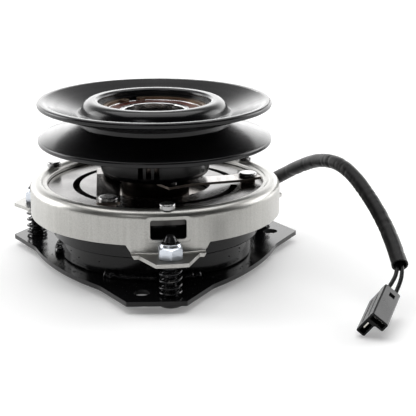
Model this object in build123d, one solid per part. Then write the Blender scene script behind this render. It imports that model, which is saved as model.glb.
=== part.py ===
from build123d import *
import math
import os

# Electromagnetic clutch and brake with a V-belt pulley, resting on the three heads of its
# adjusting bolts. Millimetres. The Z axis is the crankshaft axis, +Z points to the pulley end,
# the origin is the centre of the crankshaft bore at the hub's engine end. The lead goes to +X.

# ---- shaft, hub and bearings (both bearings are 35 x 62 x 14 deep groove ball bearings)
BORE_R = 12.7                     # 1 inch crankshaft
KEYWAY_W, KEYWAY_R = 6.35, 15.6   # 1/4 inch key, bottom of the keyway from the axis
BEARING_IN_R, BEARING_OUT_R, BEARING_W = 17.5, 31.0, 14.0
RACE_IN_R, RACE_OUT_R = 21.0, 27.9
BALL_R, BALL_PITCH_R, BALL_COUNT = 3.9, 24.25, 10
RUNNING_GAP = 0.1
HUB_TOP = 87.6
FIELD_BEARING_Z = 8.2
PULLEY_BEARING_Z = 80.6

# ---- mounting plate, a rounded triangle with three lobes
PLATE_LOW, PLATE_TOP = 4.4, 7.1
LOBE_TIP_R, LOBE_TIP_HALF = 94.6, 16.5
SIDE_BULGE, SIDE_BULGE_HALF = 5.2, 42.0
PLATE_HOLE_R = 30.0
LOBES = (-90.0, 30.0, 150.0)
SPARE_HOLE_R, SPARE_HOLE_AT, SPARE_TURN = 4.85, 80.0, -6.0

# ---- field (the stationary magnet)
SHELL_R, SHELL_WALL, SHELL_TOP = 58.0, 3.0, 36.0
POLE_R, POLE_SEAT_R = 35.5, BEARING_OUT_R
WELD_SPANS = ((-65.0, -10.0), (-170.0, -115.0), (100.0, 140.0))

# ---- rotor
ROTOR_R, ROTOR_BAND, ROTOR_LOW, ROTOR_FACE = 62.3, 3.3, 20.75, 42.6
ROTOR_BACK = 37.0
HUB_FLANGE_R = 30.4
COLLAR_R = 20.5

# ---- armature, leaf springs and their rivets
AIR_GAP = 0.5
ARMATURE_T, ARMATURE_R, ARMATURE_IN_R = 5.5, 72.0, 33.0
ARMATURE_STEP_R, ARMATURE_STEP = 65.7, 1.2
ARMATURE_LOW = ROTOR_FACE + AIR_GAP
ARMATURE_TOP = ARMATURE_LOW + ARMATURE_T
SLOT_R, SLOT_W, SLOT_SPAN, SLOT_AT = 47.8, 4.2, 96.0, 66.0
LEAF_W, LEAF_T, LEAF_COUNT = 13.6, 0.5, 3
LEAF_OUT_R, LEAF_OUT_AT, LEAF_OUT_Z = 56.2, 1.5, 51.0
LEAF_HUB_R, LEAF_HUB_AT = 29.0, -69.5
LEAF_FIT = 0.05
SPACER_R = 4.6

# ---- pulley
SHEAVE_R, RIM_T = 69.85, 3.0      # 5.5 inch outside diameter
PULLEY_TOP = 100.55
GROOVE_R, GROOVE_LOW, GROOVE_HIGH = 45.5, 86.7, 89.3
LOWER_RIM_Z = 75.4
HUB_RING_R, HUB_RING_LOW, HUB_RING_T = 32.7, 55.7, 2.3
LEAF_HUB_Z = HUB_RING_LOW - LEAF_T * LEAF_COUNT

# ---- brake flange, with its pads and the three adjusting bolts
BRAKE_R, BRAKE_SHEET = 75.34, 2.2
SKIRT_LOW, CROWN_TOP, LEDGE_TOP, BRAKE_MOUTH_R = 32.85, 52.6, 51.2, 65.1
BOLT_TURN, BOLT_AT_R = 5.3, 83.5
EAR_TOP, EAR_TIP_R, EAR_TIP_HALF = 28.35, 94.5, 8.85
TAB_TOP_HALF, TAB_LOW_HALF = 23.75, 19.5
WINDOW_W, WINDOW_LOW, WINDOW_HIGH, WINDOW_ROUND = 20.4, 36.15, 47.45, 1.5
BRAKE_RIVET_AT, BRAKE_RIVET_R, BRAKE_RIVET_H = 69.5, 4.35, 3.1
BRAKE_SHANK_R, PAD_SPAN, PAD_GAP = 1.5, 30.0, 0.05
BOLT_R, THREAD_PITCH, THREAD_DEPTH = 3.97, 1.411, 0.75   # 5/16-18 UNC
BOLT_HEAD_R, BOLT_TOP = 8.6, 41.2
SPRING_R, SPRING_WIRE, SPRING_PITCH = 6.55, 1.5, 3.8
NUT_ACROSS, NUT_HEX_H, NUT_H = 12.7, 6.7, 8.7
NUT_BORE_R = BOLT_R + 0.06

# ---- lead: sleeve, two wires and a two-way connector
SLEEVE_R, SLEEVE_WALL, WIRE_R = 4.35, 0.9, 1.15
SLEEVE_ROUTE = (
    (16.5, 63.6, 13.6), (34.0, 70.5, 14.2), (52.0, 74.8, 17.6), (69.5, 72.8, 25.8),
    (82.8, 61.5, 36.4), (92.2, 43.5, 47.2), (101.6, 20.5, 57.0), (109.3, -1.0, 61.2),
    (116.3, -20.5, 59.0), (122.6, -39.5, 51.6), (128.4, -56.5, 42.2), (132.0, -73.5, 33.2),
    (133.3, -90.3, 24.8),
)
WIRE_ROUTES = {
    "lead_wire_left": (
        (130.6, -72.5, 33.3), (131.6, -81.5, 28.6), (131.9, -91.0, 24.2),
        (129.3, -98.0, 19.4), (124.1, -104.3, 15.8),
    ),
    "lead_wire_right": (
        (133.4, -72.5, 33.5), (134.4, -81.5, 29.4), (134.6, -91.2, 24.4),
        (132.6, -99.0, 18.0), (127.9, -105.4, 12.8),
    ),
}
BOOT_R, BOOT_TIP_R, BOOT_LENGTH = 5.6, 4.9, 17.0
PLUG_ORIGIN = (110.9, -136.5, 15.0)
PLUG_AXIS, PLUG_ACROSS = (0.362, 0.921, 0.144), (0.766, -0.206, -0.609)
PLUG_LENGTH, PLUG_ARM_A, PLUG_ARM_B, PLUG_T = 33.0, 10.5, 14.6, 5.5
PLUG_WALL, PLUG_CAVITY_DEPTH = 1.1, 16.0

ON_BASE = (Align.CENTER, Align.CENTER, Align.MIN)


def polar(radius, degrees, z=0.0):
    """A point given by its radius and its angle from +X."""
    angle = math.radians(degrees)
    return (radius * math.cos(angle), radius * math.sin(angle), z)


def disc(radius, low, high):
    """A solid cylinder about Z between two heights."""
    return Pos(0, 0, low) * Cylinder(radius, high - low, align=ON_BASE)


def ring(inner, outer, low, high):
    """A plain ring about Z between two heights."""
    return disc(outer, low, high) - disc(inner, low - 1, high + 1)


def turned(points, rounds=None, span=360.0, start=0.0):
    """Turn a closed (radius, z) outline about Z; rounds maps a corner's index to its radius."""
    outline = make_face(Polyline(*points, close=True))
    for index, radius in (rounds or {}).items():
        corner = Vector(points[index][0], points[index][1], 0)
        nearest = min(outline.vertices(), key=lambda v: (Vector(v.X, v.Y, v.Z) - corner).length)
        outline = fillet(nearest, radius)
    return Rot(0, 0, start) * revolve(Plane.XZ * outline, Axis.Z, span)


def around(shape, angles):
    """Copies of a shape turned about Z to each of the angles."""
    return [Rot(0, 0, angle) * shape for angle in angles]


def bolt_angles():
    """Angles of the bolts, ears, windows and brake rivets, just past the lobes."""
    return [lobe + BOLT_TURN for lobe in LOBES]


def curved_slot(radius, width, low, high, centre, span):
    """A slot along an arc about Z, with square ends."""
    section = [(radius - width / 2, low), (radius + width / 2, low),
               (radius + width / 2, high), (radius - width / 2, high)]
    return turned(section, span=span, start=centre - span / 2)


def save(name, *shapes):
    """Write one node as a STEP file, keeping its separate solids separate."""
    solids = [solid for shape in shapes for solid in shape.solids()]
    whole = solids[0] if len(solids) == 1 else Compound(children=solids)
    export_step(whole, f"parts/{name}.step")


# ------------------------------------------------------------------ mounting plate and field
def plate_outline():
    """Triangle with cut-off corners and a shallow bulge along each side."""
    edges = []
    sine, cosine = math.sin(math.radians(60)), math.cos(math.radians(60))
    half_side = LOBE_TIP_R * sine - LOBE_TIP_HALF * cosine
    side_r = LOBE_TIP_R * cosine + LOBE_TIP_HALF * sine
    for lobe in LOBES:
        turn = Rot(0, 0, lobe)
        edges.append(turn * Line((LOBE_TIP_R, -LOBE_TIP_HALF), (LOBE_TIP_R, LOBE_TIP_HALF)))
        side = Rot(0, 0, lobe + 60)
        edges.append(side * Line((side_r, -half_side), (side_r, -SIDE_BULGE_HALF)))
        edges.append(side * ThreePointArc((side_r, -SIDE_BULGE_HALF),
                                          (side_r + SIDE_BULGE, 0),
                                          (side_r, SIDE_BULGE_HALF)))
        edges.append(side * Line((side_r, SIDE_BULGE_HALF), (side_r, half_side)))
    return make_face(Curve() + edges)


def mounting_plate():
    plate = Pos(0, 0, PLATE_LOW) * extrude(plate_outline(), PLATE_TOP - PLATE_LOW)
    upright = plate.edges().filter_by(Axis.Z)
    tips = upright.filter_by(lambda e: math.hypot(e.center().X, e.center().Y) > LOBE_TIP_R)
    plate = fillet(tips, 1.2)
    upright = plate.edges().filter_by(Axis.Z)
    hips = upright.filter_by(lambda e: math.hypot(e.center().X, e.center().Y) < 80)
    plate = fillet(hips, 25.0)
    plate -= disc(PLATE_HOLE_R, PLATE_LOW - 1, PLATE_TOP + 1)
    for lobe in LOBES:
        plate -= Pos(polar(SPARE_HOLE_AT, lobe + SPARE_TURN)) * disc(SPARE_HOLE_R, 0, 10)
    square = Pos(BOLT_AT_R, 0, PLATE_LOW - 1) * Box(8.0, 8.0, 6, align=ON_BASE)
    for hole in around(square, bolt_angles()):
        plate -= hole
    return plate


def field_shell():
    """Steel cup with the centre pole that holds the field bearing."""
    low = PLATE_TOP
    floor = low + SHELL_WALL
    wall_in = SHELL_R - SHELL_WALL
    snap_low, snap_high = FIELD_BEARING_Z + BEARING_W + 0.1, FIELD_BEARING_Z + BEARING_W + 1.6
    section = [(28.5, low), (SHELL_R, low), (SHELL_R, SHELL_TOP), (wall_in, SHELL_TOP),
               (wall_in, floor), (POLE_R, floor), (POLE_R, SHELL_TOP), (POLE_SEAT_R, SHELL_TOP),
               (POLE_SEAT_R, snap_high), (32.2, snap_high), (32.2, snap_low),
               (POLE_SEAT_R, snap_low), (POLE_SEAT_R, FIELD_BEARING_Z), (28.5, FIELD_BEARING_Z)]
    return turned(section, {1: 1.5})


def weld_bead(start, end):
    """Fillet weld between the shell and the plate over one span of angle."""
    section = [(SHELL_R, PLATE_TOP), (SHELL_R + 4.6, PLATE_TOP), (SHELL_R + 3.6, PLATE_TOP + 2.4),
               (SHELL_R + 1.5, PLATE_TOP + 4.2), (SHELL_R, PLATE_TOP + 4.8)]
    return turned(section, {2: 1.0, 3: 1.0}, span=end - start, start=start)


def coil_bobbin():
    """Moulded channel that carries the winding."""
    low, high = PLATE_TOP + SHELL_WALL + 0.2, 33.6
    section = [(36.0, low), (54.5, low), (54.5, low + 1.5), (37.5, low + 1.5),
               (37.5, high - 1.5), (54.5, high - 1.5), (54.5, high), (36.0, high)]
    return turned(section)


def save_field():
    save("mounting_plate", mounting_plate())
    save("field_shell", field_shell())
    save("weld_beads", *[weld_bead(*span) for span in WELD_SPANS])
    save("coil_bobbin", coil_bobbin())
    save("coil_winding", ring(37.5, 53.6, PLATE_TOP + SHELL_WALL + 1.7, 32.1))
    save("coil_potting", ring(36.0, 54.8, 33.6, 35.4))


# ------------------------------------------------------------------ bearings and snap rings
def race_cut(low):
    """The ball track, a torus cut from both rings."""
    return Pos(0, 0, low + BEARING_W / 2) * Torus(BALL_PITCH_R, BALL_R + RUNNING_GAP)


def inner_race(low):
    high = low + BEARING_W
    section = [(BEARING_IN_R, low), (RACE_IN_R, low), (RACE_IN_R, high), (BEARING_IN_R, high)]
    return turned(section, {0: 0.6, 1: 0.4, 2: 0.4, 3: 0.6}) - race_cut(low)


def outer_race(low):
    high = low + BEARING_W
    section = [(RACE_OUT_R, low), (BEARING_OUT_R, low), (BEARING_OUT_R, high), (RACE_OUT_R, high)]
    return turned(section, {0: 0.4, 1: 0.6, 2: 0.6, 3: 0.4}) - race_cut(low)


def balls(low):
    ball = Pos(BALL_PITCH_R, 0, low + BEARING_W / 2) * Sphere(BALL_R)
    return around(ball, [360.0 * i / BALL_COUNT for i in range(BALL_COUNT)])


def seals(low):
    """Two rubber seals held in the outer ring, just clear of the inner ring."""
    lip = RACE_IN_R + RUNNING_GAP
    heights = (low + 0.6, low + BEARING_W - 1.5)
    return [turned([(lip, z), (RACE_OUT_R, z), (RACE_OUT_R, z + 0.9), (lip, z + 0.9)]) for z in heights]


def snap_ring(low, high, gap_at, gap_half=9.0):
    """Internal snap ring with two eyelets beside its gap."""
    body = ring(28.6, 32.0, low, high)
    body -= turned([(20, low - 1), (40, low - 1), (40, high + 1), (20, high + 1)],
                   span=2 * gap_half, start=gap_at - gap_half)
    for side in (-1, 1):
        at = gap_at + side * (gap_half + 2.5)
        body += Pos(polar(28.0, at)) * disc(2.7, low, high)
        body -= Pos(polar(27.8, at)) * disc(1.0, low - 1, high + 1)
    return body


def save_bearings():
    for name, low in (("field_bearing", FIELD_BEARING_Z), ("pulley_bearing", PULLEY_BEARING_Z)):
        save(f"{name}_inner_ring", inner_race(low))
        save(f"{name}_outer_ring", outer_race(low))
        save(f"{name}_balls", *balls(low))
        save(f"{name}_seals", *seals(low))
    field_top, pulley_top = FIELD_BEARING_Z + BEARING_W, PULLEY_BEARING_Z + BEARING_W
    save("field_snap_ring", snap_ring(field_top + 0.1, field_top + 1.5, 30.0))
    save("pulley_snap_ring", snap_ring(pulley_top + 0.1, pulley_top + 1.5, 119.0))


# ------------------------------------------------------------------ rotor
def rotor_hub():
    """Keyed hub that carries both bearings and the rotor disc."""
    shoulder = FIELD_BEARING_Z + BEARING_W
    flange_low = shoulder + 2.8
    section = [(BORE_R, 0), (BEARING_IN_R, 0), (BEARING_IN_R, shoulder), (19.8, shoulder),
               (19.8, flange_low), (HUB_FLANGE_R, flange_low), (HUB_FLANGE_R, ROTOR_FACE),
               (BEARING_IN_R, ROTOR_FACE), (BEARING_IN_R, HUB_TOP), (BORE_R, HUB_TOP)]
    hub = turned(section, {0: 0.5, 1: 0.6, 8: 0.8, 9: 0.8})
    return hub - Pos(0, KEYWAY_R / 2, HUB_TOP / 2) * Box(KEYWAY_W, KEYWAY_R, HUB_TOP + 2)


def rotor_disc():
    """Rotor face with its outer band over the shell, and two rows of pole slots."""
    section = [(HUB_FLANGE_R, ROTOR_BACK), (ROTOR_R - ROTOR_BAND, ROTOR_BACK),
               (ROTOR_R - ROTOR_BAND, ROTOR_LOW), (ROTOR_R, ROTOR_LOW), (ROTOR_R, ROTOR_FACE),
               (HUB_FLANGE_R, ROTOR_FACE)]
    rotor = turned(section, {1: 1.5, 3: 0.8, 4: 1.2})
    for radius, turn in ((40.5, 0.0), (54.5, 45.0)):
        for quarter in range(4):
            rotor -= curved_slot(radius, 2.6, ROTOR_BACK - 1, ROTOR_FACE + 1, turn + 90 * quarter, 74)
    return rotor - ring(44.5, 50.5, ROTOR_FACE - 2.5, ROTOR_FACE + 1)


def save_rotor():
    save("rotor_hub", rotor_hub())
    save("rotor_disc", rotor_disc())
    save("rotor_friction_ring", ring(44.5, 50.5, ROTOR_FACE - 2.5, ROTOR_FACE - 0.1))
    save("spacer_collar", turned([(BEARING_IN_R, ROTOR_FACE), (COLLAR_R, ROTOR_FACE),
                                  (COLLAR_R, PULLEY_BEARING_Z), (BEARING_IN_R, PULLEY_BEARING_Z)],
                                 {1: 0.5, 2: 0.5}))


# ------------------------------------------------------------------ armature and leaf springs
def leaf_plane(turn):
    """Plane along one leaf: X from its outer rivet to its hub rivet, Y across, Z up."""
    outer = Vector(*polar(LEAF_OUT_R, LEAF_OUT_AT + turn))
    hub = Vector(*polar(LEAF_HUB_R, LEAF_HUB_AT + turn))
    return Plane(origin=outer, x_dir=hub - outer, z_dir=(0, 0, 1)), (hub - outer).length


def leaf_pack(turn):
    """One stack of thin leaves, flat at both ends and rising to the hub."""
    plane, length = leaf_plane(turn)
    leaves = []
    for layer in range(LEAF_COUNT):
        low, high = LEAF_OUT_Z + layer * LEAF_T, LEAF_HUB_Z + layer * LEAF_T
        line = [(-6.2, low), (7.5, low), (length - 8.5, high), (length + 7.0, high)]
        outline = Polyline(*line, *[(x, z + LEAF_T) for x, z in reversed(line)], close=True)
        across = Plane(origin=(0, LEAF_W / 2, 0), x_dir=(1, 0, 0), z_dir=(0, -1, 0))
        leaf = extrude(across * make_face(outline), LEAF_W)
        leaf = fillet(leaf.edges().filter_by(Axis.Z).group_by(Axis.X)[0], 2.0)
        for x, radius in ((0, 3.0 + LEAF_FIT), (length, 2.5)):
            leaf -= Pos(x, 0, 0) * disc(radius, 40, 70)
        leaves.append(plane * leaf)
    return leaves


def armature_plate():
    step_z = ARMATURE_TOP - ARMATURE_STEP
    section = [(ARMATURE_IN_R, ARMATURE_LOW), (ARMATURE_R, ARMATURE_LOW), (ARMATURE_R, step_z),
               (ARMATURE_STEP_R, step_z), (ARMATURE_STEP_R, ARMATURE_TOP),
               (ARMATURE_IN_R, ARMATURE_TOP)]
    plate = turned(section, {1: 0.5, 2: 0.5, 5: 0.5})
    for third in range(3):
        plate -= curved_slot(SLOT_R, SLOT_W, ARMATURE_LOW - 1, ARMATURE_TOP + 1,
                             SLOT_AT + 120 * third, SLOT_SPAN)
        plate -= Pos(polar(LEAF_OUT_R, LEAF_OUT_AT + 120 * third)) * disc(3.0, 40, 60)
    return plate


def headed_rivet(shank_r, low, head_low, head_r, head_h, point):
    """Shank from low to the head's seat, with a flat-topped round head above it."""
    head = turned([(0, head_low), (head_r, head_low), (head_r, head_low + head_h),
                   (0, head_low + head_h)], {2: min(1.1, head_h * 0.6)})
    return Pos(point) * (disc(shank_r, low, head_low) + head)


def hub_rivet(point):
    """Rivet from the leaf's hub end up through the hub ring's flange, head below."""
    head_low = LEAF_HUB_Z - 1.6
    head = turned([(0, head_low), (4.4, head_low), (4.4, LEAF_HUB_Z), (0, LEAF_HUB_Z)], {1: 0.9})
    return Pos(point) * (head + disc(2.5, LEAF_HUB_Z, HUB_RING_LOW + HUB_RING_T))


def save_armature():
    turns = (0, 120, 240)
    leaf_top = LEAF_OUT_Z + LEAF_COUNT * LEAF_T
    outer = [polar(LEAF_OUT_R, LEAF_OUT_AT + t) for t in turns]
    hub = [polar(LEAF_HUB_R, LEAF_HUB_AT + t) for t in turns]
    save("leaf_springs", *[leaf for t in turns for leaf in leaf_pack(t)])
    save("armature_plate", armature_plate())
    save("armature_rivets", *[headed_rivet(3.0, ARMATURE_LOW, leaf_top, 5.6, 2.0, p) for p in outer])
    save("leaf_spacers", *[Pos(p) * ring(3.0, SPACER_R, ARMATURE_TOP, LEAF_OUT_Z) for p in outer])
    save("hub_rivets", *[hub_rivet(p) for p in hub])


# ------------------------------------------------------------------ pulley
def upper_sheave():
    """Pressed flank with the domed boss over the bearing."""
    boss_low = 91.9
    section = [(SHEAVE_R, PULLEY_TOP - RIM_T), (SHEAVE_R, PULLEY_TOP), (66.5, PULLEY_TOP),
               (44.8, boss_low), (42.0, PULLEY_TOP), (33.4, PULLEY_TOP), (33.4, 96.8),
               (35.2, 96.8), (35.2, 97.9), (38.5, 97.9), (40.8, GROOVE_HIGH),
               (GROOVE_R, GROOVE_HIGH)]
    return turned(section, {0: 1.2, 1: 1.4, 2: 4.0, 3: 2.2, 4: 6.2, 5: 2.0, 9: 1.2, 11: 2.5})


def lower_sheave():
    """Pressed flank with a flat web welded to the hub."""
    section = [(SHEAVE_R, LOWER_RIM_Z), (SHEAVE_R, LOWER_RIM_Z + RIM_T), (GROOVE_R, GROOVE_LOW),
               (34.9, GROOVE_LOW), (34.9, GROOVE_LOW - 2.8), (44.6, GROOVE_LOW - 2.8),
               (68.0, LOWER_RIM_Z)]
    return turned(section, {0: 1.0, 1: 1.4, 5: 2.0, 6: 2.0})


def pulley_hub():
    """Turned hub: bearing seat above, locating flange for the sheaves, ring for the leaves."""
    low, top = HUB_RING_LOW, 96.8
    wall_in = HUB_RING_R - 2.8
    snap = PULLEY_BEARING_Z + BEARING_W + 0.1
    section = [(23.4, low), (HUB_RING_R, low), (HUB_RING_R, 80.0), (34.9, 82.0),
               (34.9, GROOVE_LOW), (GROOVE_R - 0.6, GROOVE_LOW), (GROOVE_R - 0.6, GROOVE_HIGH),
               (34.9, GROOVE_HIGH), (34.9, top), (31.0, top), (31.0, snap + 1.5),
               (32.1, snap + 1.5), (32.1, snap), (31.0, snap), (31.0, PULLEY_BEARING_Z),
               (28.4, PULLEY_BEARING_Z), (28.4, PULLEY_BEARING_Z - 2.6),
               (wall_in, PULLEY_BEARING_Z - 4.0), (wall_in, low + HUB_RING_T),
               (23.4, low + HUB_RING_T)]
    hub = turned(section, {1: 3.6, 18: 1.4})
    slot = Pos(HUB_RING_R, 0, low + 10) * Box(8, 3.0, 13)
    for third in range(3):
        for step in (-1, 0, 1):
            hub -= Rot(0, 0, -97.0 + 120 * third + 8.4 * step) * slot
        hub -= Pos(polar(LEAF_HUB_R, LEAF_HUB_AT + 120 * third)) * disc(2.5, low - 1, low + 4)
    return hub


def save_pulley():
    save("upper_sheave", upper_sheave())
    save("lower_sheave", lower_sheave())
    save("pulley_hub", pulley_hub())


# ------------------------------------------------------------------ brake flange
def brake_cup():
    """Drawn cup: skirt, rounded shoulder, crown and the inner ledge."""
    wall_in = BRAKE_R - BRAKE_SHEET
    section = [(wall_in, SKIRT_LOW), (BRAKE_R, SKIRT_LOW), (BRAKE_R, CROWN_TOP),
               (69.0, CROWN_TOP), (67.4, LEDGE_TOP), (BRAKE_MOUTH_R, LEDGE_TOP),
               (BRAKE_MOUTH_R, LEDGE_TOP - BRAKE_SHEET), (66.6, LEDGE_TOP - BRAKE_SHEET),
               (68.2, CROWN_TOP - BRAKE_SHEET), (wall_in, CROWN_TOP - BRAKE_SHEET)]
    rounds = {2: 4.8, 9: 2.0, 3: 1.2, 4: 1.0, 5: 0.6}
    return turned(section, rounds)


def brake_ear():
    """Tab below the skirt that bends out into an ear with the bolt hole, drawn along +X."""
    low = EAR_TOP - BRAKE_SHEET
    wall_in = BRAKE_R - BRAKE_SHEET
    tab_face = make_face(Polyline((-TAB_TOP_HALF, SKIRT_LOW), (TAB_TOP_HALF, SKIRT_LOW),
                                  (TAB_LOW_HALF, low), (-TAB_LOW_HALF, low), close=True))
    tab_block = extrude(Plane.YZ.offset(50) * tab_face, 50)
    section = [(wall_in, SKIRT_LOW), (wall_in, low), (EAR_TIP_R, low), (EAR_TIP_R, EAR_TOP),
               (BRAKE_R, EAR_TOP), (BRAKE_R, SKIRT_LOW)]
    bend = turned(section, {1: 2.4, 4: 1.0})
    tab = bend & (tab_block - Pos(BRAKE_R + 12, 0, low) * Box(20, 60, 60))
    outline = Polyline((60, -TAB_LOW_HALF), (BRAKE_R - 3.2, -TAB_LOW_HALF),
                       (EAR_TIP_R, -EAR_TIP_HALF), (EAR_TIP_R, EAR_TIP_HALF),
                       (BRAKE_R - 3.2, TAB_LOW_HALF), (60, TAB_LOW_HALF), close=True)
    ear = bend & Pos(0, 0, low) * extrude(make_face(outline), SKIRT_LOW - low)
    hole = Pos(BOLT_AT_R, 0, low - 1) * Cylinder(BOLT_R + 0.35, 6, align=ON_BASE)
    return tab + ear - hole


def window_cut():
    """Rectangular window through the skirt and the shallow frame pressed round it."""
    height = WINDOW_HIGH - WINDOW_LOW
    middle = (WINDOW_HIGH + WINDOW_LOW) / 2
    across = Plane(origin=(BRAKE_R - 6, 0, middle), x_dir=(0, 1, 0), z_dir=(1, 0, 0))
    hole = extrude(across * RectangleRounded(WINDOW_W, height, WINDOW_ROUND), 12)
    frame = extrude(across * RectangleRounded(WINDOW_W + 5.0, height + 3.6, 2.4), 12)
    return hole, frame - disc(BRAKE_R - 0.25, 0, 100)


def brake_flange():
    flange = brake_cup()
    hole, frame = window_cut()
    rivet_hole = Pos(BRAKE_RIVET_AT, 0, 0) * disc(BRAKE_SHANK_R, 45, 60)
    for angle in bolt_angles():
        turn = Rot(0, 0, angle)
        flange += turn * brake_ear()
        flange -= turn * hole
        flange -= turn * frame
        flange -= turn * rivet_hole
    return flange


def brake_pad(angle):
    """Friction pad held under the crown by its rivet."""
    low = ARMATURE_TOP - ARMATURE_STEP + PAD_GAP
    under_ledge, under_crown = LEDGE_TOP - BRAKE_SHEET, CROWN_TOP - BRAKE_SHEET
    section = [(66.2, low), (71.1, low), (71.1, under_crown), (68.5, under_crown),
               (67.0, under_ledge), (66.2, under_ledge)]
    pad = turned(section, span=PAD_SPAN, start=angle - PAD_SPAN / 2)
    return pad - Pos(polar(BRAKE_RIVET_AT, angle)) * disc(BRAKE_SHANK_R, 40, 60)


def save_brake():
    angles = bolt_angles()
    save("brake_flange", brake_flange())
    save("brake_pads", *[brake_pad(a) for a in angles])
    pad_low = ARMATURE_TOP - ARMATURE_STEP + PAD_GAP + 0.4
    save("brake_rivets", *[headed_rivet(BRAKE_SHANK_R, pad_low, CROWN_TOP, BRAKE_RIVET_R, BRAKE_RIVET_H,
                                        polar(BRAKE_RIVET_AT, a)) for a in angles])


# ------------------------------------------------------------------ adjusting bolts and nuts
def adjusting_bolt():
    """Carriage bolt, head down: domed head, square neck, plain shank, thread, tapered end."""
    head = turned([(0, 0), (3.5, 0), (6.8, 1.3), (BOLT_HEAD_R, 3.3), (BOLT_HEAD_R, PLATE_LOW),
                   (0, PLATE_LOW)], {2: 3.0, 3: 0.8})
    neck = Pos(0, 0, PLATE_LOW) * Box(7.9, 7.9, PLATE_TOP - PLATE_LOW, align=ON_BASE)
    root_r = BOLT_R - THREAD_DEPTH
    start, taper = 10.0, BOLT_TOP - 1.6
    turns = int((taper - start) / THREAD_PITCH)
    outline = [(0, PLATE_TOP), (BOLT_R, PLATE_TOP), (BOLT_R, start)]
    for i in range(turns):
        z = start + i * THREAD_PITCH
        outline += [(root_r, z + THREAD_PITCH * 0.45), (root_r, z + THREAD_PITCH * 0.55),
                    (BOLT_R, z + THREAD_PITCH * 0.95), (BOLT_R, z + THREAD_PITCH)]
    outline += [(2.4, BOLT_TOP), (0, BOLT_TOP)]
    return head + neck + turned(outline)


def adjusting_spring():
    """Compression spring between the plate and the ear."""
    wire_r = SPRING_WIRE / 2
    height = EAR_TOP - BRAKE_SHEET - PLATE_TOP - SPRING_WIRE
    path = Helix(pitch=SPRING_PITCH, height=height, radius=SPRING_R - wire_r)
    section = Plane(origin=path @ 0, z_dir=path % 0) * Circle(wire_r)
    return Pos(0, 0, PLATE_TOP + wire_r) * sweep(section, path, is_frenet=True)


def lock_nut():
    """Hexagon nut with a crimped collar round its nylon insert."""
    hexagon = extrude(RegularPolygon(NUT_ACROSS / 2, 6, major_radius=False), NUT_HEX_H)
    corner = NUT_ACROSS / 2 / math.cos(math.radians(30))
    lathe = turned([(0, 0), (6.3, 0), (corner + 0.1, 0.6), (corner + 0.1, NUT_HEX_H - 1.0),
                    (6.0, NUT_HEX_H), (0, NUT_HEX_H)])
    collar = turned([(5.0, NUT_HEX_H - 0.5), (6.0, NUT_HEX_H - 0.5), (6.0, NUT_HEX_H + 0.5),
                     (5.4, NUT_H), (4.9, NUT_H), (4.9, NUT_HEX_H + 0.4)], {3: 0.5})
    body = (hexagon & lathe) + collar
    body -= disc(NUT_BORE_R, -1, NUT_H + 1)
    return body - disc(4.9, NUT_HEX_H - 1.2, NUT_H + 1)


def nylon_insert():
    low = NUT_HEX_H - 1.2
    return turned([(NUT_BORE_R, low), (4.9, low), (4.9, NUT_H - 0.2), (4.6, NUT_H + 0.3),
                   (NUT_BORE_R, NUT_H + 0.3)], {3: 0.3})


def save_hardware():
    angles = bolt_angles()
    at_bolt = [Pos(polar(BOLT_AT_R, a)) * Rot(0, 0, a) for a in angles]
    save("adjusting_bolts", *[p * adjusting_bolt() for p in at_bolt])
    save("adjusting_springs", *[p * Rot(0, 0, 140) * adjusting_spring() for p in at_bolt])
    for name, place in zip(("front", "right", "left"), at_bolt):
        up = place * Pos(0, 0, EAR_TOP)
        save(f"lock_nut_{name}", up * lock_nut())
        save(f"nylon_insert_{name}", up * nylon_insert())


# ------------------------------------------------------------------ lead and connector
def corner_radii(route):
    """The largest arc that each corner's two runs allow."""
    points = [Vector(*p) for p in route]
    radii = []
    for before, here, after in zip(points, points[1:], points[2:]):
        turn = math.radians((here - before).get_angle(after - here))
        radii.append(0.45 * min((here - before).length, (after - here).length) / math.tan(turn / 2))
    return radii


def tube(route, outer, inner=0.0):
    """Round tube or rod along straight runs joined by tangent arcs."""
    path = FilletPolyline(*route, radius=corner_radii(route))
    section = Circle(outer) - Circle(inner) if inner else Circle(outer)
    solid = sweep(Plane(origin=path @ 0, z_dir=path % 0) * section, path)
    area = math.pi * (outer ** 2 - inner ** 2)
    print(f"route {path.length:.1f} mm, radii {[round(r, 1) for r in corner_radii(route)]},"
          f" volume ratio {solid.volume / (area * path.length):.4f}")
    return solid


def lead_grommet():
    """Moulded boot on the side of the shell that turns the lead along it."""
    start, towards = Vector(*SLEEVE_ROUTE[0]), Vector(*SLEEVE_ROUTE[1])
    out = (towards - start).normalized()
    back = start - out * BOOT_LENGTH
    boot = Plane(origin=back, z_dir=out) * Cone(BOOT_R, BOOT_TIP_R, BOOT_LENGTH, align=ON_BASE)
    foot = Pos(back.X + 5.5, 57.0, 13.4) * Box(13.0, 13.0, 11.0)
    return fillet(foot.edges().filter_by(Axis.Z), 1.5) + boot - disc(SHELL_R, 0, 40)


def plug_plane():
    """Plane of the connector's front face: X along arm A, Y along arm B, Z to the wires."""
    return Plane(origin=PLUG_ORIGIN, x_dir=PLUG_ACROSS, z_dir=PLUG_AXIS)


def plug_block(x, y, z, size_x, size_y, size_z):
    """A box from its lowest corner, in the connector's own plane."""
    return Pos(x, y, z) * Box(size_x, size_y, size_z, align=(Align.MIN, Align.MIN, Align.MIN))


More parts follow.
